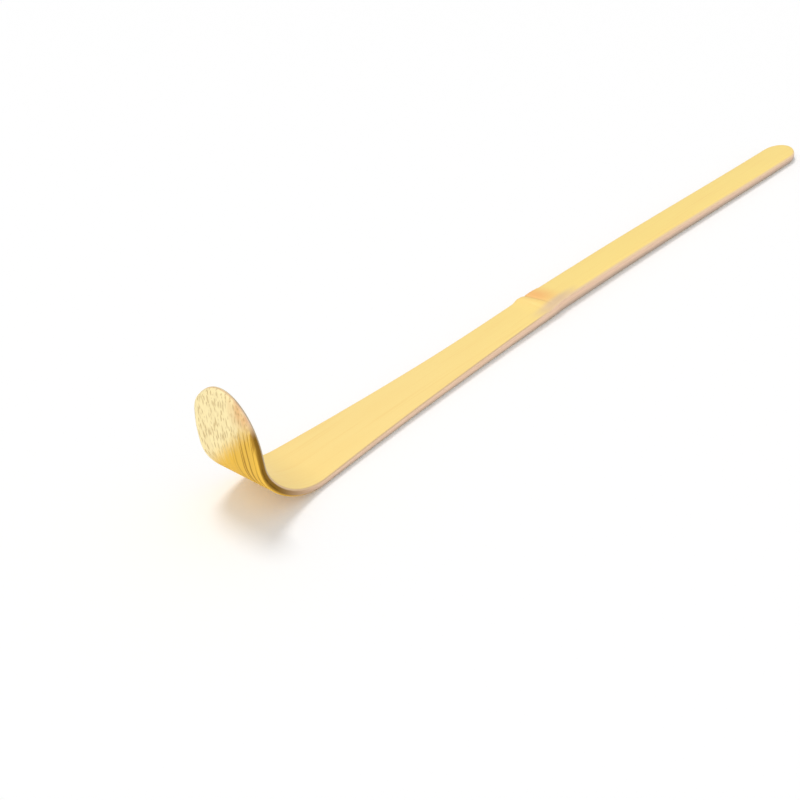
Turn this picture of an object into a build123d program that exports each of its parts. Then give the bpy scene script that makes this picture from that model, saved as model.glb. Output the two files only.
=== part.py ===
"""Bamboo tea scoop (chashaku): one strip of bamboo, bent at the tip, with the node half way.

The strip is one piece of wood. Its solids are the culm's own zones: two lengths of grain, the blade
and the handle, that meet at the node, each with a skin, a wall of dense fibre and a paler inner wall.
The zones lie face to face and fill the strip.

Millimetres. X runs along the strip towards the handle's end, Y across it and Z up from the surface
that it rests on. The strip is worked out with x = 0 where the bend leaves that surface, and is moved
at the end, so that the origin is the middle of the finished scoop's footprint.
"""

from build123d import *
import os
from math import cos, radians, sin, sqrt

# Lengths along the strip
TIP_LENGTH = 10.9  # the straight tip above the bend
BLADE_LENGTH = 61.0  # from the bend to the middle of the node
NODE_LENGTH = 5.0
HANDLE_LENGTH = 89.0  # from the middle of the node to the handle's end

# The bend: two arcs of the underside, the tighter one next to the tip
HEEL_RADIUS = 15.2
HEEL_ANGLE = 55.5
THROAT_RADIUS = 8.8
THROAT_ANGLE = 24.0

# Widths
TIP_WIDTH = 11.6
BLADE_WIDTH = 6.4  # where the blade meets the node
NODE_WIDTH = 6.4  # across the ridge
HANDLE_WIDTH = 5.9  # where the handle leaves the node
END_WIDTH = 6.2  # where the handle's end starts to round off
TIP_ROUNDING = 8.7  # length of the half ellipse at the tip
END_ROUNDING = 5.0  # length of the half ellipse at the handle's end
FLARE_RUN = 12.0  # how far round the bend the blade still widens, seen from above

# Thicknesses
BLADE_THICKNESS = 1.7  # at the bend
NECK_THICKNESS = 2.25  # where the blade meets the node
TIP_THICKNESS = 0.75  # at the end of the tip
NODE_THICKNESS = 2.8  # at the crest of the ridge
HANDLE_THICKNESS = 2.7  # where the handle leaves the node
END_THICKNESS = 1.9
SKIN_THICKNESS = 0.4
FIBRE_THICKNESS = 0.5

# The culm's curve across the skin, and the edges that the carver softened
CULM_RADIUS = 45.0
EDGE_ROUND = 0.3
THUMB_ROUND = 0.7  # the handle's upper edges

# Room that the stock and the cutters have round the finished strip
SPARE = 6.0

BEND_ANGLE = HEEL_ANGLE + THROAT_ANGLE
NODE_START = BLADE_LENGTH - NODE_LENGTH / 2
NODE_END = BLADE_LENGTH + NODE_LENGTH / 2
HANDLE_END = BLADE_LENGTH + HANDLE_LENGTH
HALF_STOCK = TIP_WIDTH / 2 + SPARE
CUTTER_LENGTH = HANDLE_END + TIP_LENGTH + HEEL_RADIUS + SPARE

TIP_HEADING = Vector(-cos(radians(BEND_ANGLE)), 0, sin(radians(BEND_ANGLE)))
TIP_SKIN_SIDE = Vector(sin(radians(BEND_ANGLE)), 0, cos(radians(BEND_ANGLE)))


def crown_arc(half_width, height):
    """The culm's curve across the skin, this high at its middle."""
    edge_height = height - CULM_RADIUS + sqrt(CULM_RADIUS**2 - half_width**2)
    return ThreePointArc((-half_width, edge_height), (0, height), (half_width, edge_height))


def ogee(start, end, share):
    """S-curve of two arcs, level at both ends, that meet this share of the way along."""
    first, last = Vector(*start), Vector(*end)
    middle = first + (last - first) * share
    level = (1 if last.X > first.X else -1, 0)
    opening = TangentArc(first, middle, tangent=level)
    return opening + TangentArc(middle, last, tangent=opening % 1)


def both_sides(half):
    """A plan's half and its mirror image across the strip's middle."""
    return half + mirror(half, Plane.XZ)


def upright(plan):
    """Cutter that stands on a plan and reaches past the strip above and below it."""
    return extrude(Pos(0, 0, -SPARE) * plan, amount=CUTTER_LENGTH)


def side_cutter(side):
    """Cutter as wide as the stock, from a side view in X and Z."""
    return extrude(Plane.XZ * side, amount=HALF_STOCK, both=True)


def stock(skin_line, depth):
    """The culm's wall along a line on its skin, from this depth under the skin downwards."""
    left = 1 if (skin_line @ 0).X < (skin_line @ 1).X else -1
    start = Plane(skin_line @ 0, x_dir=(0, left, 0), z_dir=skin_line % 0)
    crown = crown_arc(HALF_STOCK, -depth)
    below = Polyline(crown @ 1, (HALF_STOCK, -SPARE), (-HALF_STOCK, -SPARE), crown @ 0)
    return sweep(start * make_face(crown + below), path=skin_line)


def straight_skin_line(start, end):
    """A skin line through two points of the side view, with room to spare at both ends."""
    first, last = Vector(*start), Vector(*end)
    spare = (last - first).normalized() * SPARE
    return Plane.XZ * Line(first - spare, last + spare)


def zones(body, skin_line, inner_line):
    """Divides a length of the strip into its skin, its wall of dense fibre and its inner wall.

    The inner wall follows its own line on the skin, which ends where the wall is carved away.
    """
    under_skin = stock(skin_line, SKIN_THICKNESS)
    under_fibre = stock(inner_line, SKIN_THICKNESS + FIBRE_THICKNESS)
    return body - under_skin, (body & under_skin) - under_fibre, body & under_fibre


def runs_along(edge):
    """Whether an edge runs along the strip, and isn't a seam across it or up its side."""
    size = edge.bounding_box().size
    return edge.length > NODE_THICKNESS and max(size.X, size.Z) > NODE_THICKNESS / 2


def bend(height):
    """The bend's two arcs and the tip in side view, this high above the underside."""
    heel = JernArc((0, height), (-1, 0), HEEL_RADIUS - height, -HEEL_ANGLE)
    throat = JernArc(heel @ 1, heel % 1, THROAT_RADIUS - height, -THROAT_ANGLE)
    return heel, throat, Line(throat @ 1, throat @ 1 + TIP_LENGTH * (throat % 1))


def blade_skin_lines():
    """The skin's middle line from past the node, round the bend, to past the tip and to its foot."""
    heel, throat, tip = bend(BLADE_THICKNESS)
    past_tip = Line(tip @ 0, tip @ 1 + SPARE * (tip % 1))
    rise = TangentArc(heel @ 0, (NODE_START, NECK_THICKNESS), tangent=(1, 0))
    past_node = Line(rise @ 1, rise @ 1 + SPARE * (rise % 1))
    to_foot = [throat.edge(), heel.edge(), rise.edge(), past_node.edge()]
    return Plane.XZ * Wire([past_tip.edge(), *to_foot]), Plane.XZ * Wire(to_foot)


def blade_side():
    """Side view of all that lies above the carved underside, which thins the tip towards its end."""
    heel, throat, tip = bend(0)
    skin_end = bend(BLADE_THICKNESS)[2] @ 1
    across = Vector(TIP_SKIN_SIDE.X, TIP_SKIN_SIDE.Z)
    foot = Line((NODE_START, 0), heel @ 0)
    thinning = TangentArc(tip @ 0, skin_end - across * TIP_THICKNESS, tangent=tip % 0)
    past = Line(thinning @ 1, thinning @ 1 + SPARE * (thinning % 1))
    above = Polyline(past @ 1, (NODE_START, (past @ 1).Y), foot @ 0)
    return make_face(foot + heel + throat + thinning + past + above)


def blade_plan():
    """Plan of the blade, which flares towards the bend and on into it."""
    share = NODE_START / (NODE_START + FLARE_RUN)
    flare = ogee((NODE_START, BLADE_WIDTH / 2), (-FLARE_RUN, TIP_WIDTH / 2), share)
    beyond = -FLARE_RUN - CUTTER_LENGTH
    rest = Polyline(
        (-FLARE_RUN, TIP_WIDTH / 2),
        (-FLARE_RUN, HALF_STOCK),
        (beyond, HALF_STOCK),
        (beyond, 0),
        (NODE_START, 0),
        (NODE_START, BLADE_WIDTH / 2),
    )
    return both_sides(make_face(flare + rest))


def tip_outline():
    """The tip seen square to its face, from its round end down past the bend."""
    half_width = TIP_WIDTH / 2
    round_end = EllipticalCenterArc((-TIP_ROUNDING, 0), TIP_ROUNDING, half_width, -90, arc_size=180)
    back = Vector(-CUTTER_LENGTH, 0)
    sides = Polyline(round_end @ 1, round_end @ 1 + back, round_end @ 0 + back, round_end @ 0)
    return make_face(round_end + sides)


def tip_cutter():
    """Cutter with the tip's outline, square to the tip's face."""
    skin_end = bend(BLADE_THICKNESS)[2] @ 1
    face = Plane(Vector(skin_end.X, 0, skin_end.Y), x_dir=TIP_HEADING, z_dir=TIP_SKIN_SIDE)
    return extrude(face * tip_outline(), amount=CUTTER_LENGTH, both=True)


def blade():
    """The blade with its bend and tip, as one body, and its lines on the skin.

    The inner wall reaches the foot of the tip, where the carver has thinned it away.
    """
    skin_line, inner_line = blade_skin_lines()
    body = stock(skin_line, 0) & side_cutter(blade_side()) & upright(blade_plan()) & tip_cutter()
    return fillet(body.edges().filter_by(runs_along), EDGE_ROUND), skin_line, inner_line


def node_section(x, width, height, upper_round):
    """The node cut across: flat below and crowned above, with its four corners rounded."""
    half_width = width / 2
    crown = crown_arc(half_width, height)
    below = Polyline(crown @ 1, (half_width, 0), (-half_width, 0), crown @ 0)
    outline = make_face(crown + below)
    outline = fillet(outline.vertices().group_by(Axis.Y)[0], EDGE_ROUND)
    outline = fillet(outline.vertices().sort_by(Axis.Y)[-2:], upper_round)
    return Plane((x, 0, 0), x_dir=(0, 1, 0), z_dir=(1, 0, 0)) * outline


def node():
    """The node as one body, swollen between the blade and the handle, and its lines on the skin."""
    ridge_round = (EDGE_ROUND + THUMB_ROUND) / 2
    sections = [
        node_section(NODE_START, BLADE_WIDTH, NECK_THICKNESS, EDGE_ROUND),
        node_section(BLADE_LENGTH, NODE_WIDTH, NODE_THICKNESS, ridge_round),
        node_section(NODE_END, HANDLE_WIDTH, HANDLE_THICKNESS, THUMB_ROUND),
    ]
    skin_line = straight_skin_line((NODE_START, NECK_THICKNESS), (NODE_END, HANDLE_THICKNESS))
    return loft(sections), skin_line, skin_line


def handle_side():
    """Side view of all that lies above the handle's flat underside."""
    corners = (NODE_END, 0), (HANDLE_END, 0), (HANDLE_END, SPARE), (NODE_END, SPARE)
    return make_face(Polyline(*corners, close=True))


def handle_plan():
    """Plan of the handle, which widens a little towards its round end."""
    round_start = HANDLE_END - END_ROUNDING
    side = Line((NODE_END, HANDLE_WIDTH / 2), (round_start, END_WIDTH / 2))
    end = EllipticalCenterArc((round_start, 0), END_ROUNDING, END_WIDTH / 2, 0, arc_size=90)
    middle = Polyline(end @ 0, (NODE_END, 0), side @ 0)
    return both_sides(make_face(side + end + middle))


def handle():
    """The handle as one body, and its lines on the skin."""
    skin_line = straight_skin_line((NODE_END, HANDLE_THICKNESS), (HANDLE_END, END_THICKNESS))
    body = stock(skin_line, 0) & side_cutter(handle_side()) & upright(handle_plan())
    lower = body.edges().filter_by(runs_along).filter_by(lambda edge: edge.center().Z < END_THICKNESS / 2)
    body = fillet(lower, EDGE_ROUND)
    upper = body.edges().filter_by(runs_along).filter_by(lambda edge: edge.center().Z > END_THICKNESS / 2)
    return fillet(upper, THUMB_ROUND), skin_line, skin_line


def lengths():
    """The three lengths of the strip: each one's node names from the skin down, body and skin lines."""
    return (
        (("blade_skin", "blade_fibre_wall", "blade_inner_wall"), *blade()),
        (("node_ridge", "node_wall", "node_diaphragm_stub"), *node()),
        (("handle_skin", "handle_fibre_wall", "handle_inner_wall"), *handle()),
    )


def main():
    """Builds every zone, moves it to the middle of the scoop's footprint and writes it to its file."""
    parts = {}
    for names, body, skin_line, inner_line in lengths():
        parts.update(zip(names, zones(body, skin_line, inner_line)))
    box = Compound(list(parts.values())).bounding_box()
    to_origin = Pos(-box.center().X, -box.center().Y, -box.min.Z)
    os.makedirs("parts", exist_ok=True)
    for name, solid in parts.items():
        export_step(to_origin * solid, f"parts/{name}.step")


main()
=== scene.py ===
import logging
from dataclasses import dataclass, field
from enum import Enum
from math import cos, exp, pi, radians, sin, sqrt
from typing import Callable

import bpy
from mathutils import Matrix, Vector, noise

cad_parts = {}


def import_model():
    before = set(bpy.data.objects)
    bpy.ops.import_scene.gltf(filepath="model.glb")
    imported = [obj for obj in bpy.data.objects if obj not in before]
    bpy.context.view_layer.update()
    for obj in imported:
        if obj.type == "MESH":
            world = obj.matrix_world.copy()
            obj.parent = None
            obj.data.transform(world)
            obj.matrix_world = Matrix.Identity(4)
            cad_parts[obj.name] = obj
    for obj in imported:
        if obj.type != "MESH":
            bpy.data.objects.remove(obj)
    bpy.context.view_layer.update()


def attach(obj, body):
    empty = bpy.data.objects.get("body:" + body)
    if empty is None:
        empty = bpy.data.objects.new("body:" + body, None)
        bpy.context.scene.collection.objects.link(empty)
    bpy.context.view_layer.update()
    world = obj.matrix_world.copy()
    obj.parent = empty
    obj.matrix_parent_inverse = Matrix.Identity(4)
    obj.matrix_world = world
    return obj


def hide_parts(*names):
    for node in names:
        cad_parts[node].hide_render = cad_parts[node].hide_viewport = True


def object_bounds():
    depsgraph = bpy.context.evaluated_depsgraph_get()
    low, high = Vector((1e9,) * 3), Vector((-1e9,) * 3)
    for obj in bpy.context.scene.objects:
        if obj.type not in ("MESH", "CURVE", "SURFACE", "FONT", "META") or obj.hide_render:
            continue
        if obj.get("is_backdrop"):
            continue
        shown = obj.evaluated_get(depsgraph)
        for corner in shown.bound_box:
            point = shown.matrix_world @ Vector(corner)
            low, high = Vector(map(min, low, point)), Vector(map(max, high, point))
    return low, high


LOG = logging.getLogger("tea_scoop")
MM = 0.001
TINY = 1e-4
NEAR = 1e-3
Colour = tuple[float, float, float]


class Zone(Enum):
    """The natural zones of the bamboo's wall, from the skin inwards."""

    SKIN = "skin"
    FIBRE = "fibre"
    INNER = "inner"


def eased(place: float, start: float, run: float) -> float:
    """A soft step.

    Args:
        place: Where it is read.
        start: Where it leaves 0.
        run: How far on it reaches 1.

    Returns:
        Its height there, from 0 to 1.
    """
    share = min(max((place - start) / run, 0.0), 1.0)
    return share * share * (3 - 2 * share)


def bell(place: float, middle: float, run: float) -> float:
    """A bell curve.

    Args:
        place: Where it is read.
        middle: Where it reaches 1.
        run: How far from there it has fallen to 1/e.

    Returns:
        Its height there, from 0 to 1.
    """
    return exp(-(((place - middle) / run) ** 2))


# ---------------------------------------------------------------------------------------------
# Modelling by operators
# ---------------------------------------------------------------------------------------------


class Bench:
    """One piece of wood on the bench, worked in millimetres by edit-mode operators."""

    def __init__(self, piece: bpy.types.Object) -> None:
        """Takes up a piece.

        Args:
            piece: The mesh object to work on.
        """
        self.piece = piece

    @staticmethod
    def clear() -> None:
        """Leaves edit mode and deselects everything."""
        if bpy.context.object and bpy.context.object.mode != "OBJECT":
            bpy.ops.object.mode_set(mode="OBJECT")
        bpy.ops.object.select_all(action="DESELECT")

    @classmethod
    def veneer(cls, name: str, length: float, width: float, height: float) -> "Bench":
        """A flat rectangle that starts at x = 0 and lies across the middle line.

        Args:
            name: Name of the new piece.
            length: Size along X.
            width: Size along Y.
            height: Its place along Z.

        Returns:
            The new piece on its bench.
        """
        cls.clear()
        bpy.ops.mesh.primitive_plane_add(size=1, location=(0, 0, 0))
        bench = cls(bpy.context.object)
        bench.piece.name = name
        bench.piece.data.name = name
        bench.edit()
        bpy.ops.transform.resize(value=(length, width, 1), center_override=(0, 0, 0))
        bpy.ops.transform.translate(value=(length / 2, 0, height))
        return bench

    @classmethod
    def block(cls, name: str, low: Vector, high: Vector) -> "Bench":
        """A box between two corners, for cutting with.

        Args:
            name: Name of the new piece.
            low: Its lowest corner.
            high: Its highest corner.

        Returns:
            The new piece on its bench.
        """
        cls.clear()
        bpy.ops.mesh.primitive_cube_add(size=1, location=(0, 0, 0))
        bench = cls(bpy.context.object)
        bench.piece.name = name
        bench.edit()
        bpy.ops.transform.resize(value=tuple(high - low), center_override=(0, 0, 0))
        bpy.ops.transform.translate(value=tuple((high + low) / 2))
        cls.clear()
        return bench

    def edit(self) -> None:
        """Goes into edit mode with all of the piece selected."""
        self.clear()
        bpy.context.view_layer.objects.active = self.piece
        self.piece.select_set(True)
        bpy.ops.object.mode_set(mode="EDIT")
        bpy.ops.mesh.select_all(action="SELECT")

    def select(self, kind: str, test: Callable[[list[Vector]], bool]) -> None:
        """Selects faces, edges or vertices by their place, and goes back into edit mode.

        Args:
            kind: "VERT", "EDGE" or "FACE".
            test: Tells from the places of its vertices whether an element is wanted.
        """
        self.edit()
        bpy.ops.mesh.select_mode(type=kind)
        bpy.ops.mesh.select_all(action="DESELECT")
        bpy.ops.object.mode_set(mode="OBJECT")
        mesh = self.piece.data
        if kind == "VERT":
            for vertex in mesh.vertices:
                vertex.select = test([vertex.co])
        else:
            for element in mesh.edges if kind == "EDGE" else mesh.polygons:
                element.select = test([mesh.vertices[i].co for i in element.vertices])
        bpy.ops.object.mode_set(mode="EDIT")

    def bisect(self, axis: int, place: float, keep: str = "both") -> None:
        """Cuts across the whole piece.

        Args:
            axis: The axis that the cut is square to: 0, 1 or 2.
            place: Where the cut lies on that axis.
            keep: "both", "above" or "below". A side that goes leaves a closed face.
        """
        point, normal = [0.0, 0.0, 0.0], [0.0, 0.0, 0.0]
        point[axis], normal[axis] = place, 1.0
        bpy.ops.mesh.select_all(action="SELECT")
        bpy.ops.mesh.bisect(
            plane_co=point,
            plane_no=normal,
            use_fill=keep != "both",
            clear_inner=keep == "above",
            clear_outer=keep == "below",
            threshold=TINY,
        )

    def copy(self, name: str) -> "Bench":
        """A copy of the piece with its own mesh.

        Args:
            name: Name of the copy.

        Returns:
            The copy on its bench.
        """
        self.clear()
        bpy.context.view_layer.objects.active = self.piece
        self.piece.select_set(True)
        bpy.ops.object.duplicate(linked=False)
        twin = Bench(bpy.context.object)
        twin.piece.name = name
        twin.piece.data.name = name
        twin.edit()
        return twin

    def apply(self, kind: str, **settings: object) -> None:
        """Adds a modifier and applies it.

        Args:
            kind: The modifier's type.
            settings: Its settings.
        """
        self.clear()
        bpy.context.view_layer.objects.active = self.piece
        self.piece.select_set(True)
        modifier = self.piece.modifiers.new(kind.title(), kind)
        for name, value in settings.items():
            setattr(modifier, name, value)
        bpy.ops.object.modifier_apply(modifier=modifier.name)

    def discard(self) -> None:
        """Takes the piece off the bench for good."""
        self.clear()
        bpy.data.objects.remove(self.piece)

    def finish(self) -> None:
        """Turns the faces outwards, smooths the rounded edges and scales the piece to metres."""
        self.edit()
        bpy.ops.mesh.remove_doubles(threshold=TINY)
        bpy.ops.mesh.select_all(action="SELECT")
        bpy.ops.mesh.normals_make_consistent(inside=False)
        self.clear()
        bpy.context.view_layer.objects.active = self.piece
        self.piece.select_set(True)
        self.piece.scale = (MM, MM, MM)
        bpy.ops.object.transform_apply(location=False, rotation=False, scale=True)
        bpy.ops.object.shade_smooth_by_angle(angle=radians(40))
        self.clear()


# ---------------------------------------------------------------------------------------------
# Shader maths
# ---------------------------------------------------------------------------------------------


class Value:
    """A number socket on which Python's operators add Math nodes."""

    def __init__(self, shop: "FinishShop", socket: bpy.types.NodeSocket) -> None:
        """Wraps a socket.

        Args:
            shop: The material that the socket is in.
            socket: The socket that carries the number.
        """
        self.shop = shop
        self.socket = socket

    def math(self, operation: str, *others: "Value | float") -> "Value":
        """The result of one Math node.

        Args:
            operation: The Math node's operation.
            others: Its further inputs.

        Returns:
            Its output.
        """
        return self.shop.math(operation, self, *others)

    def __add__(self, other: "Value | float") -> "Value":
        """self + other."""
        return self.math("ADD", other)

    __radd__ = __add__

    def __sub__(self, other: "Value | float") -> "Value":
        """self - other."""
        return self.math("SUBTRACT", other)

    def __rsub__(self, other: "Value | float") -> "Value":
        """other - self."""
        return self.shop.math("SUBTRACT", other, self)

    def __mul__(self, other: "Value | float") -> "Value":
        """self * other."""
        return self.math("MULTIPLY", other)

    __rmul__ = __mul__

    def __truediv__(self, other: "Value | float") -> "Value":
        """self / other."""
        return self.math("DIVIDE", other)

    def __abs__(self) -> "Value":
        """The absolute value."""
        return self.math("ABSOLUTE")

    def between(self, low: float, high: float) -> "Value":
        """A soft step from 0 at low to 1 at high."""
        return self.shop.make(
            "ShaderNodeMapRange",
            {"interpolation_type": "SMOOTHSTEP", "clamp": True},
            {"Value": self, "From Min": low, "From Max": high},
        )


class FinishShop:
    """Makes the nodes of one material."""

    def __init__(self, name: str) -> None:
        """Starts an empty material.

        Args:
            name: Name of the material.
        """
        self.material = bpy.data.materials.new(name)
        self.material.use_nodes = True
        self.tree = self.material.node_tree
        self.tree.nodes.clear()

    def make(self, kind: str, settings: dict, sockets: dict, output: str | int = 0) -> Value:
        """Adds any node.

        Args:
            kind: The node's type.
            settings: Its settings, which are set first.
            sockets: Values or links of its sockets, by name or number.
            output: Name or number of the output to return.

        Returns:
            That output.
        """
        node = self.tree.nodes.new(kind)
        for name, value in settings.items():
            setattr(node, name, value)
        for name, value in sockets.items():
            target = node.inputs[name]
            if isinstance(value, Value):
                self.tree.links.new(value.socket, target)
            else:
                target.default_value = value
        return Value(self, node.outputs[output])

    def math(self, operation: str, *values: Value | float) -> Value:
        """Adds a Math node with these inputs."""
        return self.make("ShaderNodeMath", {"operation": operation}, dict(enumerate(values)))

    def vector(self, x: Value | float, y: Value | float, z: Value | float) -> Value:
        """Joins three numbers to a vector."""
        return self.make("ShaderNodeCombineXYZ", {}, {"X": x, "Y": y, "Z": z})

    def mix(self, factor: Value | float, first: Value | Colour, second: Value | Colour) -> Value:
        """Mixes two colours."""
        as_colour = [c if isinstance(c, Value) else (*c, 1.0) for c in (first, second)]
        settings = {"data_type": "RGBA", "clamp_factor": True}
        sockets = {0: factor, 6: as_colour[0], 7: as_colour[1]}
        return self.make("ShaderNodeMix", settings, sockets, 2)

    def attribute(self, name: str, output: str = "Fac") -> Value:
        """Reads an attribute of the mesh.

        Args:
            name: The attribute's name.
            output: "Fac" for a number or "Vector" for a place.

        Returns:
            What it holds.
        """
        settings = {"attribute_name": name, "attribute_type": "GEOMETRY"}
        return self.make("ShaderNodeAttribute", settings, {}, output)

    def cloud(self, place: Value, detail: float = 2.0) -> Value:
        """Noise from 0 to 1 at a place."""
        return self.make(
            "ShaderNodeTexNoise", {}, {"Vector": place, "Scale": 1.0, "Detail": detail}, "Fac"
        )

    def bump(self, height: Value, strength: float, distance: float) -> Value:
        """A normal from a height.

        Args:
            height: The height.
            strength: The bump's strength.
            distance: Its depth in metres.

        Returns:
            The normal.
        """
        sockets = {"Strength": strength, "Distance": distance, "Height": height}
        return self.make("ShaderNodeBump", {}, sockets)

    def surface(self, **sockets: Value | float | Colour) -> bpy.types.Material:
        """Ends the material with a Principled shader.

        Args:
            sockets: Its sockets, with _ for a space in their names.

        Returns:
            The finished material.
        """
        named = {name.replace("_", " "): value for name, value in sockets.items()}
        shader = self.make("ShaderNodeBsdfPrincipled", {}, named)
        end = self.tree.nodes.new("ShaderNodeOutputMaterial")
        self.tree.links.new(shader.socket, end.inputs["Surface"])
        return self.material


# ---------------------------------------------------------------------------------------------
# Finishes
# ---------------------------------------------------------------------------------------------


@dataclass(frozen=True)
class Grain:
    """Where a point lies in the straight strip, in millimetres."""

    along: Value
    across: Value
    up: Value

    @classmethod
    def of(cls, shop: FinishShop) -> "Grain":
        """Reads the grain attribute, which every piece carries.

        Args:
            shop: The material to read it in.

        Returns:
            Its three numbers.
        """
        place = shop.attribute("grain", "Vector")
        node = shop.make("ShaderNodeSeparateXYZ", {}, {"Vector": place})
        outputs = node.socket.node.outputs
        return cls(*(Value(shop, outputs[axis]) for axis in "XYZ"))

    def stretched(self, along: float, across: float, up: float, shift: float = 0.0) -> Value:
        """A place for noise, scaled along, across and up the strip.

        Args:
            along: Scale along the grain.
            across: Scale across the strip.
            up: Scale through its thickness.
            shift: Moves the pattern, so that two of them differ.

        Returns:
            The scaled place.
        """
        shop = self.along.shop
        return shop.vector(self.along * along + shift, self.across * across, self.up * up)

    def in_bend(self) -> Value:
        """1 round the bend, falling to 0 in the tip and along the flat blade."""
        return self.along.between(3.5, 6.0) * (1 - self.along.between(16, 30))


@dataclass(frozen=True)
class SkinFinish:
    """Smooth golden culm skin with a satin gloss, tinted orange at the node."""

    crease: float
    skew: float
    blade_tone: Colour = (0.985, 0.740, 0.270)
    handle_tone: Colour = (0.985, 0.745, 0.230)
    streak_tone: Colour = (0.930, 0.620, 0.190)
    node_tone: Colour = (0.930, 0.470, 0.150)
    crease_shade_tone: Colour = (0.700, 0.400, 0.130)
    blade_edge_tone: Colour = (0.680, 0.470, 0.265)
    handle_edge_tone: Colour = (0.840, 0.610, 0.370)
    near_rim_dark_tone: Colour = (0.740, 0.535, 0.335)
    tip_edge_tone_and_shade: Colour = (0.460, 0.370, 0.240)
    wall_tone: Colour = (0.800, 0.570, 0.400)
    bend_wall_shade_tone: Colour = (0.270, 0.140, 0.020)

    def build(self, name: str) -> bpy.types.Material:
        """Makes the material.

        Args:
            name: Name of the material.

        Returns:
            The material.
        """
        shop = FinishShop(name)
        grain = Grain.of(shop)
        streaks = shop.cloud(grain.stretched(0.035, 3.2, 3.2), 4.0)
        fibres = shop.cloud(grain.stretched(0.09, 15.0, 15.0, 7.0), 3.0)
        patches = shop.cloud(grain.stretched(0.06, 0.35, 0.35, 21.0), 2.0)
        colour = shop.mix(grain.along.between(40, 120), self.blade_tone, self.handle_tone)
        colour = shop.mix(streaks.between(0.5, 0.8) * 0.45, colour, self.streak_tone)
        colour = shop.mix(fibres.between(0.55, 0.8) * 0.22, colour, self.streak_tone)
        colour = shop.mix(patches.between(0.35, 0.75) * 0.15, colour, self.streak_tone)
        from_crease = grain.along - self.crease + grain.across * self.skew + (streaks - 0.5) * 0.4
        glow = from_crease.between(-0.7, 0.5) * (1 - from_crease.between(0.9, 5.0))
        glow = glow * (0.2 + 0.8 * grain.across.between(-3.0, 1.4))
        colour = shop.mix(glow * 0.85, colour, self.node_tone)
        before = from_crease.between(-3.5, -0.4) * (1 - from_crease.between(-0.2, 0.2))
        colour = shop.mix(before * 0.18, colour, self.node_tone)
        # Painted shade: the sheath scar's crease, already dipped in the relief, is also painted
        # darker as if lying in shade.
        crease = (1 - abs(from_crease).between(0.05, 0.45)) * grain.across.between(-2.6, 0.0)
        colour = shop.mix(crease * 0.3, colour, self.crease_shade_tone)
        # Darker along the near edge of the top face, around the node.
        near_edge = (0 - grain.across).between(0.8, 2.1)
        near_rim_darkening = near_edge * from_crease.between(-7.0, 0.0) * (1 - from_crease.between(2.0, 9.0))
        colour = shop.mix(near_rim_darkening * 0.9, colour, self.near_rim_dark_tone)
        side = shop.attribute("side")
        # Round the tip the skin's cut edge is darker: partly the cut edge's own tone, partly
        # painted shade on the thin rim.
        edge = shop.mix(grain.along.between(11, 16), self.tip_edge_tone_and_shade, self.blade_edge_tone)
        edge = shop.mix(from_crease.between(-8, 0), edge, self.handle_edge_tone)
        colour = shop.mix(side.between(0.03, 0.5), colour, edge)
        # In the bend the skin's side faces turn dark brown: painted shade.
        wall = shop.mix(grain.in_bend(), self.wall_tone, self.bend_wall_shade_tone)
        colour = shop.mix(side.between(0.85, 0.95), colour, wall)
        return shop.surface(
            Base_Color=colour,
            Roughness=0.36 + fibres * 0.16,
            Normal=shop.bump(fibres * 0.5 + streaks * 0.5, 0.35, 0.03 * MM),
            Specular_IOR_Level=0.4,
        )


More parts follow.
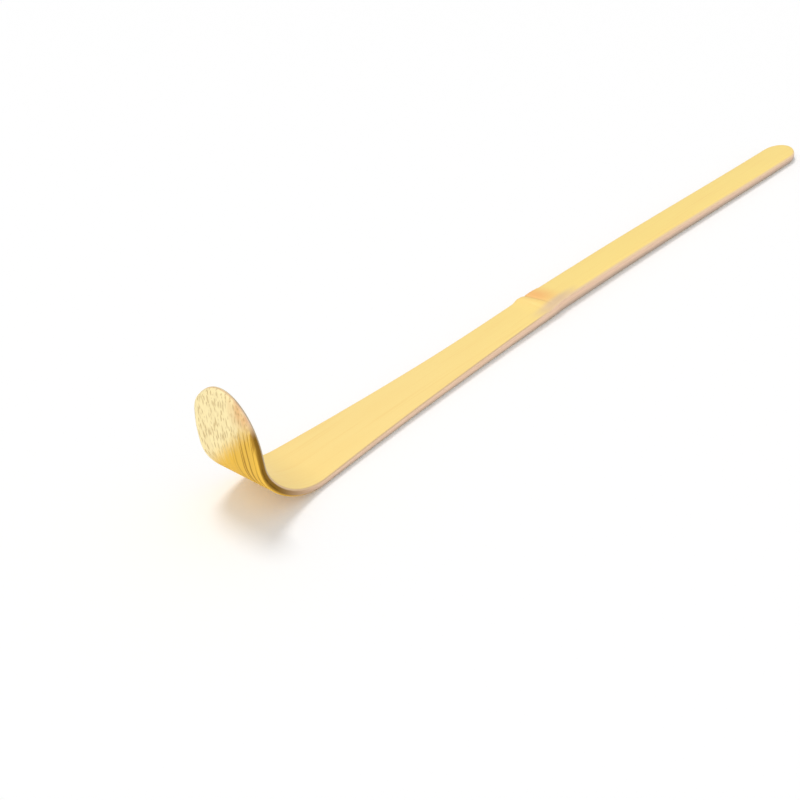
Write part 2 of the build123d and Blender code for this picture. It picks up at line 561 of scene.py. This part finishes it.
@dataclass(frozen=True)
class CarvedFinish:
    """Knife-cut wood: cut bundles on a pale ground, and long fibres on the strip's sides."""

    ground_tone: Colour = (0.995, 0.845, 0.465)
    bundle_tone: Colour = (0.500, 0.330, 0.130)
    blush_and_shade_tone: Colour = (0.760, 0.390, 0.150)
    side_tone: Colour = (0.820, 0.580, 0.420)
    side_line_tone: Colour = (0.640, 0.420, 0.270)
    contact_shade_tone: Colour = (0.300, 0.250, 0.215)
    bend_tone_and_shade: Colour = (0.860, 0.520, 0.065)
    bend_line_tone: Colour = (0.380, 0.190, 0.020)
    bend_side_shade_tone: Colour = (0.230, 0.115, 0.008)
    bundle_spacing: float = 0.33
    bundle_pace: float = 0.55
    flat_pace: float = 0.07
    flat_start: float = 20.0
    bundle_core: float = 0.20
    bundle_rim: float = 0.56

    def build(self, name: str) -> bpy.types.Material:
        """Makes the material.

        Args:
            name: Name of the material.

        Returns:
            The material.
        """
        shop = FinishShop(name)
        grain = Grain.of(shop)
        wobble = shop.cloud(grain.stretched(0.45, 0.9, 0.9, 3.0), 2.0)
        bundles = self.bundles(grain, wobble)
        fine = shop.cloud(grain.stretched(0.12, 9.0, 9.0, 5.0), 3.0)
        broad = shop.cloud(grain.stretched(0.05, 1.1, 1.1, 11.0), 3.0)
        tip = 1 - grain.along.between(6, 10)
        # Towards the tip's near edge the ground turns browner: partly a warmer tone of the wood,
        # partly painted shade on the side away from the key light.
        blush_and_shade = (1 - grain.along.between(2.5, 6.0)) * (1 - grain.across.between(-4.5, -0.5))
        blush_and_shade = blush_and_shade * (0.4 + 0.6 * broad.between(0.3, 0.6))
        # Round the bend, on its near half, the ground turns orange: partly the bend's own warmer
        # tone, partly painted shade.
        spread = grain.across - (grain.along - 9) * 0.9 + (fine - 0.5) * 5
        warm_and_shade = (1 - spread.between(-2.5, 1.5)) * grain.along.between(3.0, 5.5)
        warm_and_shade = warm_and_shade * (1 - grain.along.between(24, 38))
        ground = shop.mix(blush_and_shade * 0.9, self.ground_tone, self.blush_and_shade_tone)
        ground = shop.mix(warm_and_shade * 0.98, ground, self.bend_tone_and_shade)
        ground = shop.mix(broad.between(0.4, 0.75) * 0.15, ground, self.bundle_tone)
        cut = shop.mix(bundles * (0.2 + 0.75 * fine) * (1 - warm_and_shade), ground, self.bundle_tone)
        lines = shop.cloud(grain.stretched(0.06, 2.3, 0.8, 33.0), 2.0).between(0.50, 0.60)
        near_side = 1 - grain.across.between(-3.2, 0.0)
        cut = shop.mix(lines * warm_and_shade * near_side * 0.85, cut, self.bend_line_tone)
        side = shop.mix(fine.between(0.42, 0.72) * 0.45, self.side_tone, self.side_line_tone)
        bend = grain.in_bend()
        side = shop.mix(tip * (1 - bend) * 0.7, side, ground)
        # Round the bend the carved sides turn dark brown: painted shade.
        side = shop.mix(bend, side, self.bend_side_shade_tone)
        sideways = shop.attribute("side")
        colour = shop.mix(sideways.between(0.25, 0.8), cut, side)
        # Painted shade: the sides darken towards the underside along the flat strip, standing in
        # for the shade where the strip meets the table.
        above = grain.up / (1 + 0.6 * grain.along.between(70, 100))
        contact_shade = (1 - above.between(0.1, 1.0)) * grain.along.between(20, 30)
        contact_shade = contact_shade * sideways.between(0.0, 0.15)
        colour = shop.mix(contact_shade * 0.85, colour, self.contact_shade_tone)
        return shop.surface(
            Base_Color=colour,
            Roughness=0.62 + fine * 0.18,
            Normal=shop.bump(fine * 0.6 - bundles * 0.5, 0.6, 0.06 * MM),
            Specular_IOR_Level=0.1,
        )

    def bundles(self, grain: Grain, wobble: Value) -> Value:
        """The fibre bundles as the knife cuts them: short in the tip, long under the flat strip.

        Args:
            grain: Where the point lies in the strip.
            wobble: Noise that keeps them from lying in level rows.

        Returns:
            1 in a bundle and 0 between them.
        """
        shop = grain.along.shop
        up = (grain.up + wobble * 0.9) * (1.25 / self.bundle_spacing)
        bent = grain.along.math("MINIMUM", self.flat_start)
        flat = (grain.along - self.flat_start).math("MAXIMUM", 0.0)
        along = bent * self.bundle_pace + flat * self.flat_pace
        place = shop.vector(along, grain.across * (1 / self.bundle_spacing), up)
        sockets = {"Vector": place, "Scale": 1.0}
        nearest = shop.make("ShaderNodeTexVoronoi", {"feature": "F1"}, sockets, "Distance")
        return 1 - nearest.between(self.bundle_core, self.bundle_rim)


@dataclass(frozen=True)
class FloorFinish:
    """Plain white table top."""

    tone: Colour = (0.995, 0.995, 0.995)

    def build(self, name: str) -> bpy.types.Material:
        """Makes the material.

        Args:
            name: Name of the material.

        Returns:
            The material.
        """
        return FinishShop(name).surface(Base_Color=(*self.tone, 1.0), Roughness=0.9)


# ---------------------------------------------------------------------------------------------
# The strip
# ---------------------------------------------------------------------------------------------


@dataclass(frozen=True)
class StripPlan:
    """The strip's sizes in millimetres, measured along its underside from the tip's end."""

    tip_length: float = 10.9
    heel_radius: float = 15.2
    heel_angle: float = radians(55.5)
    throat_radius: float = 8.8
    throat_angle: float = radians(24.0)
    to_node: float = 58.5
    node_length: float = 5.0
    handle_length: float = 86.5
    tip_width: float = 11.6
    blade_width: float = 6.4
    handle_width: float = 5.9
    tip_rounding: float = 8.7
    flare_run: float = 12.0
    blade_thickness: float = 1.7
    neck_thickness: float = 2.25
    handle_thickness: float = 2.7
    tip_thickness: float = 0.75
    skin: float = 0.4
    fibre: float = 0.5
    culm_radius: float = 45.0
    edge_round: float = 0.3
    lip_height: float = 0.35
    lip_run: float = 1.1
    lip_lead: float = 1.3
    lip_spread: float = 0.05
    crease_depth: float = 0.12
    crease_run: float = 0.3
    crease_skew: float = 0.15
    scar_fade: float = 2.8
    shoulder_place: float = 3.5
    shoulder_run: float = 2.0
    shoulder_spread: float = 0.08
    wave_pace: float = 0.11
    wave_spread: float = 0.006

    @property
    def throat_end(self) -> float:
        """Where the straight tip ends and the throat begins."""
        return self.tip_length

    @property
    def heel_end(self) -> float:
        """Where the throat passes into the heel."""
        return self.throat_end + self.throat_radius * self.throat_angle

    @property
    def flat_start(self) -> float:
        """Where the bend leaves the table."""
        return self.heel_end + self.heel_radius * self.heel_angle

    @property
    def node_start(self) -> float:
        """Where the blade meets the node."""
        return self.flat_start + self.to_node

    @property
    def node_end(self) -> float:
        """Where the node meets the handle."""
        return self.node_start + self.node_length

    @property
    def crease(self) -> float:
        """Where the sheath scar's crease crosses the middle line."""
        return self.node_start + 0.42 * self.node_length

    @property
    def end(self) -> float:
        """The handle's end."""
        return self.node_end + self.handle_length

    def crown_drop(self, across: float) -> float:
        """How far the culm's curve drops at this distance from the middle line."""
        return self.culm_radius - sqrt(self.culm_radius**2 - across**2)

    def scar(self, along: float, across: float) -> tuple[float, float]:
        """The node's sheath scar: a lip and a crease, both askew and lost towards the near edge.

        Args:
            along: Place along the strip.
            across: Place across it.

        Returns:
            The lip's share of its full swelling, and the height that lip and crease add.
        """
        from_crease = along - self.crease + self.crease_skew * across
        fade = min(max((across + self.scar_fade) / self.scar_fade, 0.0), 1.0)
        lip = fade * bell(from_crease, -self.lip_lead, self.lip_run)
        crease = fade * bell(from_crease, 0.0, self.crease_run)
        return lip, self.lip_height * lip - self.crease_depth * crease

    def spread(self, along: float, across: float) -> float:
        """How the knife's waves, the scar's lip and the tip's fuller far shoulder change the width.

        Args:
            along: Place along the strip.
            across: Place across it.

        Returns:
            The factor for the distance from the middle line.
        """
        far = across > 0
        wave = noise.noise(Vector((along * self.wave_pace, 3.0 if far else 9.0, 0.0)))
        lip = self.scar(along, across)[0]
        shoulder = bell(along, self.shoulder_place, self.shoulder_run) if far else 0.0
        fuller = self.lip_spread * lip + self.shoulder_spread * shoulder
        return 1 - self.wave_spread * abs(wave) + fuller

    def sway(self, along: float) -> float:
        """How far the hand-carved strip wanders sideways from its middle line.

        Args:
            along: Place along the strip.

        Returns:
            The offset there, in millimetres.
        """
        return 0.2 * eased(along, 60, 30) - eased(along, 108, 72)

    def seen_from_above(self, along: float) -> float:
        """The place as seen from above, from the start of the bend towards the node.

        Args:
            along: Place along the strip.

        Returns:
            The distance, which is negative in the bend.
        """
        if along >= self.flat_start:
            return along - self.flat_start
        turned = min((self.flat_start - along) / self.heel_radius, self.heel_angle)
        return -self.heel_radius * sin(turned)

    def blade_half_width(self, along: float) -> float:
        """Half the blade's width: the flare towards the bend, rounded off at the tip.

        Args:
            along: Place along the strip.

        Returns:
            Half the width there.
        """
        place = self.seen_from_above(along)
        narrow, wide = self.blade_width / 2, self.tip_width / 2
        share = self.to_node / (self.to_node + self.flare_run)
        rise = (wide - narrow) * share
        if place >= 0:
            radius = (self.to_node**2 + rise**2) / (2 * rise)
            half = narrow + radius - sqrt(radius**2 - (self.to_node - place) ** 2)
        elif place > -self.flare_run:
            rest = wide - narrow - rise
            radius = (self.flare_run**2 + rest**2) / (2 * rest)
            half = wide - radius + sqrt(radius**2 - (place + self.flare_run) ** 2)
        else:
            half = wide
        if along < self.tip_rounding:
            share = (self.tip_rounding - along) / self.tip_rounding
            half = min(half, wide * sqrt(max(1 - share**2, 0.0012)))
        return half

    def underside(self) -> bpy.types.Object:
        """The line that the underside follows, from the tip's end to past the handle's end.

        Returns:
            A curve in millimetres, from which the pieces take their bend.
        """
        run = self.end - self.flat_start
        bend_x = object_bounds()[1][0] / MM - run
        heel_turn, turn = self.heel_angle, self.heel_angle + self.throat_angle
        heel_foot = Vector((bend_x, 0, 0))
        heel_top = heel_foot + self.heel_radius * Vector((-sin(heel_turn), 0, 1 - cos(heel_turn)))
        inward = Vector((sin(heel_turn), 0, cos(heel_turn)))
        centre = heel_top + self.throat_radius * inward
        throat_top = centre - self.throat_radius * Vector((sin(turn), 0, cos(turn)))
        heading = Vector((-cos(turn), 0, sin(turn)))
        tip = throat_top + self.tip_length * heading
        Bench.clear()
        bpy.ops.curve.primitive_bezier_curve_add(location=(0, 0, 0))
        curve = bpy.context.object
        curve.name = "underside_line"
        points = curve.data.splines[0].bezier_points
        points.add(3)
        heel_handle = 4 / 3 * self.heel_radius * sin(heel_turn / 4) / cos(heel_turn / 4)
        throat_arc = self.throat_angle / 4
        throat_handle = 4 / 3 * self.throat_radius * sin(throat_arc) / cos(throat_arc)
        heel_heading = Vector((-cos(heel_turn), 0, sin(heel_turn)))
        forward = Vector((1, 0, 0))
        third = self.tip_length / 3
        places = (
            (tip, tip + heading, tip - third * heading),
            (throat_top, throat_top + third * heading, throat_top - throat_handle * heading),
            (
                heel_top,
                heel_top + throat_handle * heel_heading,
                heel_top - heel_handle * heel_heading,
            ),
            (heel_foot, heel_foot - heel_handle * forward, heel_foot + run / 3 * forward),
            (
                heel_foot + run * forward,
                heel_foot + run * 2 / 3 * forward,
                heel_foot + run * 1.1 * forward,
            ),
        )
        for point, (place, left, right) in zip(points, places):
            point.handle_left_type = point.handle_right_type = "FREE"
            point.co, point.handle_left, point.handle_right = place, left, right
        curve.data.dimensions = "3D"
        curve.data.resolution_u = 64
        return curve


@dataclass
class Length:
    """One length of the strip, shaped flat, divided into its zones and bent to its line."""

    name: str
    nodes: dict[Zone, str]
    finishes: dict[Zone, bpy.types.Material]
    slots: dict[Zone, str]
    plan: StripPlan
    start: float
    end: float
    thickness: float
    upper_round: float
    lower_round: float = 0.55
    column_step: float = 0.8
    pieces: list[bpy.types.Object] = field(default_factory=list)

    def half_width(self, along: float) -> float:
        """Half the width at a place along the strip."""
        raise NotImplementedError

    def top(self, along: float) -> float:
        """Height of the skin's middle line above the underside."""
        raise NotImplementedError

    def foot(self, along: float) -> float:
        """How far the underside is carved away."""
        return 0.0

    def outline_stations(self) -> list[float]:
        """The places along the strip where the outline gets its width."""
        raise NotImplementedError

    def cross_stations(self) -> list[float]:
        """The places along the strip where a zone is divided, so that it can be shaped and bent."""
        raise NotImplementedError

    def blank(self) -> Bench:
        """The length's outline as a flat slab with its edges softened.

        Returns:
            The slab on its bench.
        """
        stations = self.outline_stations()
        width = 2 * max(self.half_width(s) for s in stations)
        bench = Bench.veneer(f"{self.name}_blank", self.end - self.start, width, self.thickness)
        bpy.ops.transform.translate(value=(self.start, 0, 0))
        for station in stations[1:-1]:
            bench.bisect(0, station)
        for station in stations:
            bench.select("VERT", lambda at, s=station: abs(at[0].x - s) < NEAR)
            share = 2 * self.half_width(station) / width
            bpy.ops.transform.resize(
                value=(1, share, 1), center_override=(station, 0, self.thickness)
            )
        bench.edit()
        bpy.ops.mesh.select_mode(type="FACE")
        bpy.ops.mesh.dissolve_faces(use_verts=False)
        bpy.ops.mesh.select_all(action="SELECT")
        down = {"value": (0, 0, -self.thickness)}
        bpy.ops.mesh.extrude_region_move(TRANSFORM_OT_translate=down)
        bpy.ops.mesh.select_all(action="SELECT")
        bpy.ops.mesh.normals_make_consistent(inside=False)
        self.soften(bench, self.thickness, self.upper_round)
        self.soften(bench, 0.0, self.lower_round)
        return bench

    def soften(self, bench: Bench, height: float, radius: float) -> None:
        """Rounds the rim at one height, but not where the length meets its neighbour.

        Args:
            bench: The slab.
            height: The rim's height.
            radius: Radius of the rounding.
        """
        joints = [s for s in (self.start, self.end) if TINY < s < self.plan.end - TINY]

        def on_rim(places: list[Vector]) -> bool:
            """Whether an edge lies on the rim and not on a joint."""
            level = all(abs(p.z - height) < NEAR for p in places)
            return level and not any(all(abs(p.x - s) < NEAR for p in places) for s in joints)

        bench.select("EDGE", on_rim)
        bpy.ops.mesh.bevel(
            offset=radius, offset_type="OFFSET", segments=6, profile=0.5, affect="EDGES",
            clamp_overlap=False,
        )

    def cut_zone(self, blank: Bench, zone: Zone) -> Bench:
        """A copy of the blank, cut down to one zone.

        Args:
            blank: The whole slab.
            zone: The zone to keep.

        Returns:
            The zone on its bench.
        """
        bench = blank.copy(f"{self.name}_{zone.value}_wood")
        under_skin = self.thickness - self.plan.skin
        under_fibre = under_skin - self.plan.fibre
        if zone is Zone.SKIN:
            bench.bisect(2, under_skin, "above")
        elif zone is Zone.FIBRE:
            bench.bisect(2, under_skin, "below")
            bench.bisect(2, under_fibre, "above")
        else:
            bench.bisect(2, under_fibre, "below")
        return bench

    def shape(self, bench: Bench) -> None:
        """Divides a zone across and along, then gives it its crown, thickness and carved waves.

        Args:
            bench: The zone's flat wood.
        """
        bench.edit()
        for station in self.cross_stations():
            bench.bisect(0, station)
        for column in range(-6, 7):
            bench.bisect(1, column * self.column_step)
        bpy.ops.mesh.select_all(action="SELECT")
        bpy.ops.mesh.remove_doubles(threshold=TINY)
        bench.clear()
        mesh = bench.piece.data
        side = mesh.attributes.new("side", "FLOAT", "FACE")
        for face, entry in zip(mesh.polygons, side.data):
            entry.value = 1 - abs(face.normal.z)
        for vertex in mesh.vertices:
            vertex.co = self.carved(vertex.co)
        grain = mesh.attributes.new("grain", "FLOAT_VECTOR", "POINT")
        for vertex, entry in zip(mesh.vertices, grain.data):
            entry.vector = vertex.co

    def carved(self, at: Vector) -> Vector:
        """Moves a point of the flat slab to its place in the straight, carved strip.

        Args:
            at: The point in the slab.

        Returns:
            The point in the strip.
        """
        relief = self.plan.scar(at.x, at.y)[1]
        y = at.y * self.plan.spread(at.x, at.y)
        lift = self.top(at.x) + relief - self.thickness - self.plan.crown_drop(y)
        foot = self.foot(at.x)
        low, high = self.lower_round, self.crown_level(at.x)
        share = min(max((at.z - low) / (high - low), 0.0), 1.0)
        return Vector((at.x, y + self.plan.sway(at.x), at.z + foot * (1 - share) + lift * share))

    def crown_level(self, along: float) -> float:
        """The slab's height from which the wood follows the skin and not the underside."""
        return self.thickness - self.plan.skin - self.plan.fibre

    def build(self, line: bpy.types.Object) -> None:
        """Makes the length's pieces and puts each in its node's place.

        Args:
            line: The curve that the underside follows.
        """
        blank = self.blank()
        for zone, node in self.nodes.items():
            bench = self.cut_zone(blank, zone)
            self.shape(bench)
            bench.apply("CURVE", object=line, deform_axis="POS_X")
            bench.finish()
            bench.piece.name = f"{node}_wood"
            bench.piece.data.name = bench.piece.name
            bench.piece.data.materials.clear()
            bench.piece.data.materials.append(self.finishes[zone])
            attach(bench.piece, "root")
            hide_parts(node)
            self.pieces.append(bench.piece)
            LOG.info("%s: %d faces", bench.piece.name, len(bench.piece.data.polygons))
        blank.discard()


@dataclass
class Blade(Length):
    """The flared blade, its bend and its round tip."""

    def half_width(self, along: float) -> float:
        """Half the width at a place along the strip."""
        return self.plan.blade_half_width(along)

    def top(self, along: float) -> float:
        """The skin runs level round the bend and rises a little towards the node."""
        share = max(along - self.plan.flat_start, 0.0) / self.plan.to_node
        rise = self.plan.neck_thickness - self.plan.blade_thickness
        return self.plan.blade_thickness + rise * share**2

    def foot(self, along: float) -> float:
        """The tip's back is carved away towards its end."""
        share = max(self.plan.tip_length - along, 0.0) / self.plan.tip_length
        return (self.plan.blade_thickness - self.plan.tip_thickness) * share**2

    def crown_level(self, along: float) -> float:
        """In the tip the fibre wall reaches the underside, and only the skin follows the crown."""
        if along < self.plan.throat_end - NEAR:
            return self.thickness - self.plan.skin
        return super().crown_level(along)

    def outline_stations(self) -> list[float]:
        """Close together round the tip, and then every 2 mm."""
        rounding = self.plan.tip_rounding
        steps = [radians(2.0 + 4.0 * i) for i in range(23)]
        tip = [rounding * (1 - cos(a)) for a in steps if a <= pi / 2]
        tip[0] = 0.0
        rest = self.plan.node_start - rounding
        count = int(rest / 2)
        return tip + [rounding + rest * (i + 1) / count for i in range(count)]

    def cross_stations(self) -> list[float]:
        """Every 0.5 mm round the bend and every 1.5 mm along the flat blade."""
        bend = [0.5 * i for i in range(1, int(self.plan.flat_start / 0.5) + 1)]
        rest = self.plan.node_start - bend[-1]
        count = int(rest / 1.5)
        return bend + [bend[-1] + rest * (i + 1) / count for i in range(count - 1)]

    def cut_zone(self, blank: Bench, zone: Zone) -> Bench:
        """As for any length, but the inner wall ends at the tip's foot."""
        if zone is Zone.SKIN:
            return super().cut_zone(blank, zone)
        foot = self.plan.throat_end
        under_fibre = self.thickness - self.plan.skin - self.plan.fibre
        if zone is Zone.INNER:
            bench = super().cut_zone(blank, zone)
            bench.bisect(0, foot, "above")
            return bench
        bench = blank.copy("blade_fibre_wood")
        bench.bisect(2, self.thickness - self.plan.skin, "below")
        past, below, beside = 5, -5, 10
        cutter = Bench.block(
            "inner_wall_cutter",
            Vector((foot, -beside, below)),
            Vector((self.end + past, beside, under_fibre)),
        )
        bench.apply("BOOLEAN", operation="DIFFERENCE", solver="EXACT", object=cutter.piece)
        cutter.discard()
        return bench


@dataclass
class Node(Length):
    """The node: a low ridge between the blade and the handle."""

    ridge_width: float = 6.25
    ridge_thickness: float = 2.6

    def share(self, along: float) -> float:
        """Share of the way across the node, from 0 at the blade to 1 at the handle."""
        return min(max((along - self.start) / (self.end - self.start), 0.0), 1.0)

    def ridge(self, along: float) -> float:
        """The ridge's rounded swelling, from 0 at both ends to 1 in the middle."""
        return sin(pi * self.share(along)) ** 2

    def half_width(self, along: float) -> float:
        """Half the width at a place along the strip."""
        share = self.share(along)
        ends = self.plan.blade_width * (1 - share) + self.plan.handle_width * share
        middle = (self.plan.blade_width + self.plan.handle_width) / 2
        return (ends + (self.ridge_width - middle) * self.ridge(along)) / 2

    def top(self, along: float) -> float:
        """Rises from the blade over the ridge to the handle."""
        soft = eased(along, self.start, self.end - self.start)
        ends = self.plan.neck_thickness * (1 - soft) + self.plan.handle_thickness * soft
        middle = (self.plan.neck_thickness + self.plan.handle_thickness) / 2
        return ends + (self.ridge_thickness - middle) * self.ridge(along)

    def outline_stations(self) -> list[float]:
        """Every 0.25 mm."""
        return [self.start + self.plan.node_length * i / 20 for i in range(21)]

    def cross_stations(self) -> list[float]:
        """Every 0.1 mm or so, for the crease and the ridge."""
        return [self.start + self.plan.node_length * i / 48 for i in range(1, 48)]


@dataclass
class Handle(Length):
    """The handle, which thins and widens a little towards its round end."""

    end_width: float = 6.2
    end_thickness: float = 1.9
    end_rounding: float = 5.0

    def half_width(self, along: float) -> float:
        """Half the width at a place along the strip."""
        round_start = self.end - self.end_rounding
        if along > round_start:
            share = (along - round_start) / self.end_rounding
            return self.end_width / 2 * sqrt(max(1 - share**2, 0.0012))
        share = (along - self.start) / (round_start - self.start)
        return (self.plan.handle_width * (1 - share) + self.end_width * share) / 2

    def top(self, along: float) -> float:
        """The skin slopes down evenly to the end."""
        share = (along - self.start) / (self.end - self.start)
        return self.thickness * (1 - share) + self.end_thickness * share

    def outline_stations(self) -> list[float]:
        """Every 4 mm, and close together round the end."""
        round_start = self.end - self.end_rounding
        straight = [self.start + (round_start - self.start) * i / 20 for i in range(20)]
        turns = [radians(4.0 * i) for i in range(22)]
        round_end = [round_start + self.end_rounding * sin(turn) for turn in turns]
        return straight + round_end + [self.end]

    def cross_stations(self) -> list[float]:
        """Every 2 mm along the handle, and closer at its end."""
        round_start = self.end - self.end_rounding
        count = int((round_start - self.start) / 2)
        straight = [self.start + (round_start - self.start) * i / count for i in range(1, count)]
        return straight + [round_start + 0.5 * i for i in range(10)]


# ---------------------------------------------------------------------------------------------
# The studio
# ---------------------------------------------------------------------------------------------


@dataclass
class Studio:
    """A plain white table top, soft light from above and the camera."""

    camera_place: Vector = field(default_factory=lambda: Vector((-0.196107, -0.123798, 0.125074)))
    camera_pitch: float = radians(57.5763)
    camera_turn: float = radians(-50.7068)
    lens: float = 67.5
    sky_strength: float = 0.565
    key_strength: float = 1.05
    fill_strength: float = 1.1

    def build(self) -> None:
        """Makes the floor, the lights and the camera."""
        Bench.clear()
        bpy.ops.mesh.primitive_plane_add(size=4, location=(0, 0, 0))
        floor = bpy.context.object
        floor.name = "table_top"
        floor.data.materials.append(FloorFinish().build("table_top"))
        floor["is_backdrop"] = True
        world = bpy.data.worlds.new("sky")
        world.use_nodes = True
        tree = world.node_tree
        background = tree.nodes["Background"]
        background.inputs["Color"].default_value = (1, 1, 1, 1)
        path = tree.nodes.new("ShaderNodeLightPath")
        strength = tree.nodes.new("ShaderNodeMapRange")
        strength.inputs["To Min"].default_value = self.sky_strength
        strength.inputs["To Max"].default_value = 1.0
        tree.links.new(path.outputs["Is Camera Ray"], strength.inputs["Value"])
        tree.links.new(strength.outputs["Result"], background.inputs["Strength"])
        bpy.context.scene.world = world
        self.lamp("soft_key", self.key_strength, radians(-20), radians(-12), radians(18))
        fill = self.lamp("fill", self.fill_strength, radians(68), radians(-45), radians(40))
        fill.use_shadow = False
        bpy.ops.object.camera_add(location=self.camera_place)
        camera = bpy.context.object
        camera.rotation_euler = (self.camera_pitch, 0, self.camera_turn)
        camera.data.lens = self.lens
        camera.data.sensor_width = 36
        camera.data.clip_start = 0.01
        bpy.context.scene.camera = camera
        bpy.context.scene.view_settings.view_transform = "Standard"
        Bench.clear()

    @staticmethod
    def lamp(
        name: str, strength: float, pitch: float, turn: float, softness: float
    ) -> bpy.types.Light:
        """Adds a soft lamp far away.

        Args:
            name: Its name.
            strength: Its strength.
            pitch: Its angle from straight down, about X.
            turn: Its turn about Z.
            softness: The angle that it fills, as seen from the scoop.

        Returns:
            The lamp's light.
        """
        bpy.ops.object.light_add(type="SUN", location=(0, 0, 0.5))
        lamp = bpy.context.object
        lamp.name = name
        lamp.rotation_euler = (pitch, 0, turn)
        lamp.data.energy = strength
        lamp.data.angle = softness
        return lamp.data


def main() -> None:
    """Builds the studio and the scoop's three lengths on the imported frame."""
    logging.basicConfig(level=logging.INFO)
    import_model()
    Studio().build()
    plan = StripPlan()
    skin = SkinFinish(crease=plan.crease, skew=plan.crease_skew).build("bamboo_skin_satin")
    carved = CarvedFinish().build("bamboo_knife_cut")
    finishes = {Zone.SKIN: skin, Zone.FIBRE: carved, Zone.INNER: carved}
    slots = {Zone.SKIN: "bamboo_skin", Zone.FIBRE: "bamboo_fibre", Zone.INNER: "bamboo_inner"}
    line = plan.underside()
    blade = Blade(
        name="blade",
        nodes={
            Zone.SKIN: "blade_skin",
            Zone.FIBRE: "blade_fibre_wall",
            Zone.INNER: "blade_inner_wall",
        },
        finishes=finishes,
        slots=slots,
        plan=plan,
        start=0.0,
        end=plan.node_start,
        thickness=plan.blade_thickness,
        upper_round=plan.edge_round,
    )
    node = Node(
        name="node",
        nodes={
            Zone.SKIN: "node_ridge",
            Zone.FIBRE: "node_wall",
            Zone.INNER: "node_diaphragm_stub",
        },
        finishes=finishes,
        slots={**slots, Zone.SKIN: "bamboo_node"},
        plan=plan,
        start=plan.node_start,
        end=plan.node_end,
        thickness=plan.handle_thickness,
        upper_round=0.5,
    )
    handle = Handle(
        name="handle",
        nodes={
            Zone.SKIN: "handle_skin",
            Zone.FIBRE: "handle_fibre_wall",
            Zone.INNER: "handle_inner_wall",
        },
        finishes=finishes,
        slots=slots,
        plan=plan,
        start=plan.node_end,
        end=plan.end,
        thickness=plan.handle_thickness,
        upper_round=0.7,
    )
    for length in (blade, node, handle):
        length.build(line)
        LOG.info("%s: %d pieces", length.name, len(length.pieces))
    bpy.data.objects.remove(line)


if __name__ == "__main__":
    main()
